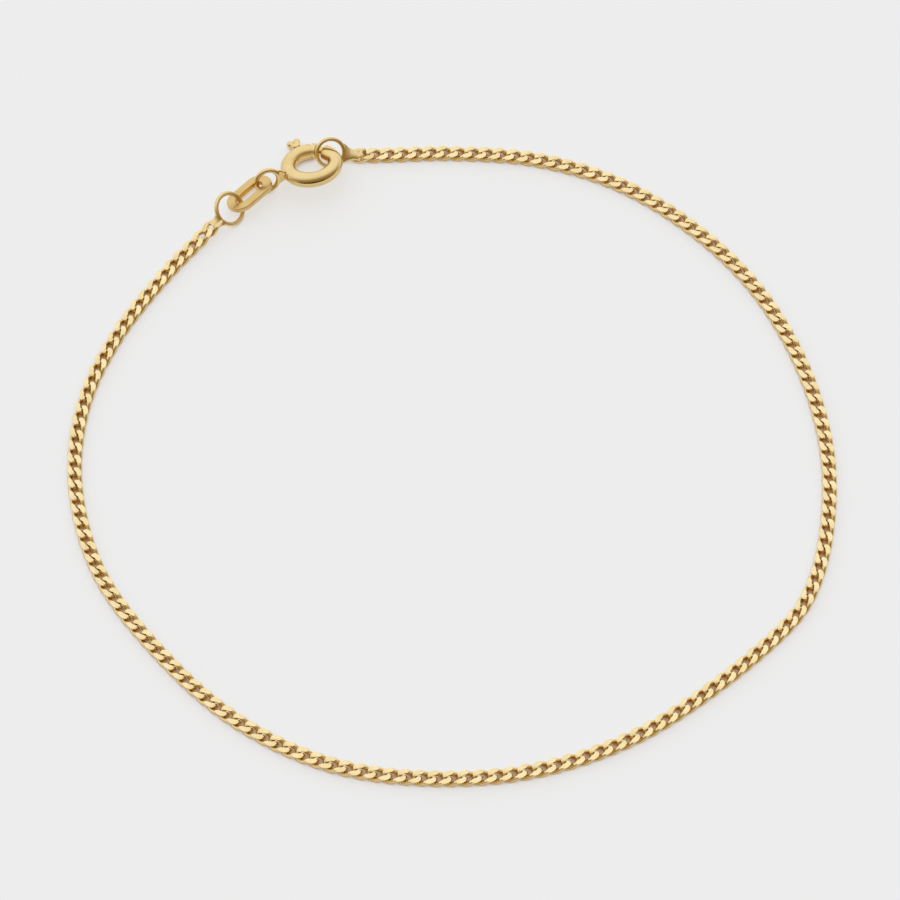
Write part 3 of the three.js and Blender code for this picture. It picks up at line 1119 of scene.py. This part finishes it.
class BRACELET_OT_stage(bpy.types.Operator):
    """Lay out the pale floor, the soft light and the camera"""

    bl_idname = "bracelet.stage"
    bl_label = "Stage"

    def execute(self, context):
        stage = context.scene.bracelet_stage
        self.floor(stage)
        self.light(context.scene)

        bpy.ops.object.camera_add()
        camera = named("camera")
        height = stage.camera_height
        away = Vector((0, -math.cos(height), math.sin(height)))
        camera.location = Vector(LOOP_MIDDLE) * MM + away * stage.camera_distance
        camera.rotation_euler = (math.pi / 2 - height, 0, 0)
        camera.data.lens = stage.lens
        camera.data.sensor_width = 36.0
        camera.data.clip_start = 0.01
        context.scene.camera = camera
        context.scene.view_settings.view_transform = "Standard"
        context.scene.view_settings.look = "None"
        return {"FINISHED"}

    def floor(self, stage):
        """A pale floor. Right under the metal, where little light comes in, a painted brown shade is
        mixed into its colour and its glow.
        """
        bpy.ops.mesh.primitive_plane_add(size=3.0)
        floor = named("floor")
        material = bpy.data.materials.new("pale_floor")
        material.use_nodes = True
        tree = material.node_tree
        surface = fill(
            tree.nodes["Principled BSDF"], Roughness=0.9, Specular_IOR_Level=0.0,
            Emission_Strength=1.0,
        )
        # Painted shade: where ambient occlusion finds metal within 0.6 mm, the floor's colour and glow
        # are mixed towards the shade colour.
        nearness = shader_node(tree, "ShaderNodeAmbientOcclusion", (-5, 0), samples=12)
        fill(nearness, Distance=0.6 * MM)
        openness = shader_node(tree, "ShaderNodeMapRange", (-4, 0), interpolation_type="SMOOTHSTEP")
        fill(openness, From_Min=0.05, From_Max=0.7)
        tree.links.new(nearness.outputs["AO"], openness.inputs["Value"])
        shaded_glow = tuple(0.3 * part for part in stage.painted_floor_shade)
        for row, (socket, shade, pale) in enumerate((
            ("Base Color", stage.painted_floor_shade, stage.floor_colour),
            ("Emission Color", shaded_glow, stage.floor_glow),
        )):
            mix = shader_node(tree, "ShaderNodeMix", (-2, -2 * row), data_type="RGBA")
            fill(mix, A=(*shade, 1.0), B=(*pale, 1.0))
            tree.links.new(openness.outputs["Result"], mix.inputs["Factor"])
            tree.links.new(mix.outputs["Result"], surface.inputs[socket])
        floor.data.materials.append(material)

    def light(self, scene):
        """A soft sky, brightest overhead towards the back, dim and warm low down in front."""
        world = bpy.data.worlds.new("soft_sky")
        world.use_nodes = True
        scene.world = world
        tree = world.node_tree
        sky = tree.nodes["Background"]
        place = shader_node(tree, "ShaderNodeTexCoord", (-5, 0))
        lean_to = shader_node(tree, "ShaderNodeVectorMath", (-4, 0), operation="DOT_PRODUCT")
        lean_to.inputs[1].default_value = Vector(BRIGHT_SIDE).normalized()
        span = fill(shader_node(tree, "ShaderNodeMapRange", (-3, 0)), From_Min=-1.0)
        shade = ramp(shader_node(tree, "ShaderNodeValToRGB", (-2, 0)), *SKY)
        tree.links.new(place.outputs["Generated"], lean_to.inputs[0])
        tree.links.new(lean_to.outputs["Value"], span.inputs["Value"])
        tree.links.new(span.outputs["Result"], shade.inputs["Fac"])
        tree.links.new(shade.outputs["Color"], sky.inputs["Color"])


# ---- The add-on ----

class BRACELET_PT_panel(bpy.types.Panel):
    """The bracelet's sizes and the operators that build it."""

    bl_idname = "BRACELET_PT_panel"
    bl_label = "Fine Curb Bracelet"
    bl_space_type = "VIEW_3D"
    bl_region_type = "UI"
    bl_category = "Bracelet"

    def draw(self, context):
        for operator in OPERATORS:
            self.layout.operator(operator.bl_idname)
        for name, group in SETTINGS.items():
            box = self.layout.box()
            for key in group.__annotations__:
                box.prop(getattr(context.scene, name), key)


SETTINGS = {
    "bracelet_chain": BRACELET_PG_chain,
    "bracelet_clasp": BRACELET_PG_clasp,
    "bracelet_finish": BRACELET_PG_finish,
    "bracelet_stage": BRACELET_PG_stage,
}
OPERATORS = (
    BRACELET_OT_chain,
    BRACELET_OT_end_rings,
    BRACELET_OT_tag,
    BRACELET_OT_spring_ring,
    BRACELET_OT_bolt,
    BRACELET_OT_stage,
)


def register():
    for group in (*SETTINGS.values(), *OPERATORS, BRACELET_PT_panel):
        bpy.utils.register_class(group)
    for name, group in SETTINGS.items():
        setattr(bpy.types.Scene, name, bpy.props.PointerProperty(type=group))


def unregister():
    for name in SETTINGS:
        delattr(bpy.types.Scene, name)
    for group in (BRACELET_PT_panel, *reversed(OPERATORS), *reversed(SETTINGS.values())):
        bpy.utils.unregister_class(group)


def main():
    register()
    bpy.ops.bracelet.chain()
    bpy.ops.bracelet.end_rings()
    bpy.ops.bracelet.tag()
    bpy.ops.bracelet.spring_ring()
    bpy.ops.bracelet.bolt()
    bpy.ops.bracelet.stage()


if __name__ == "__main__":
    main()
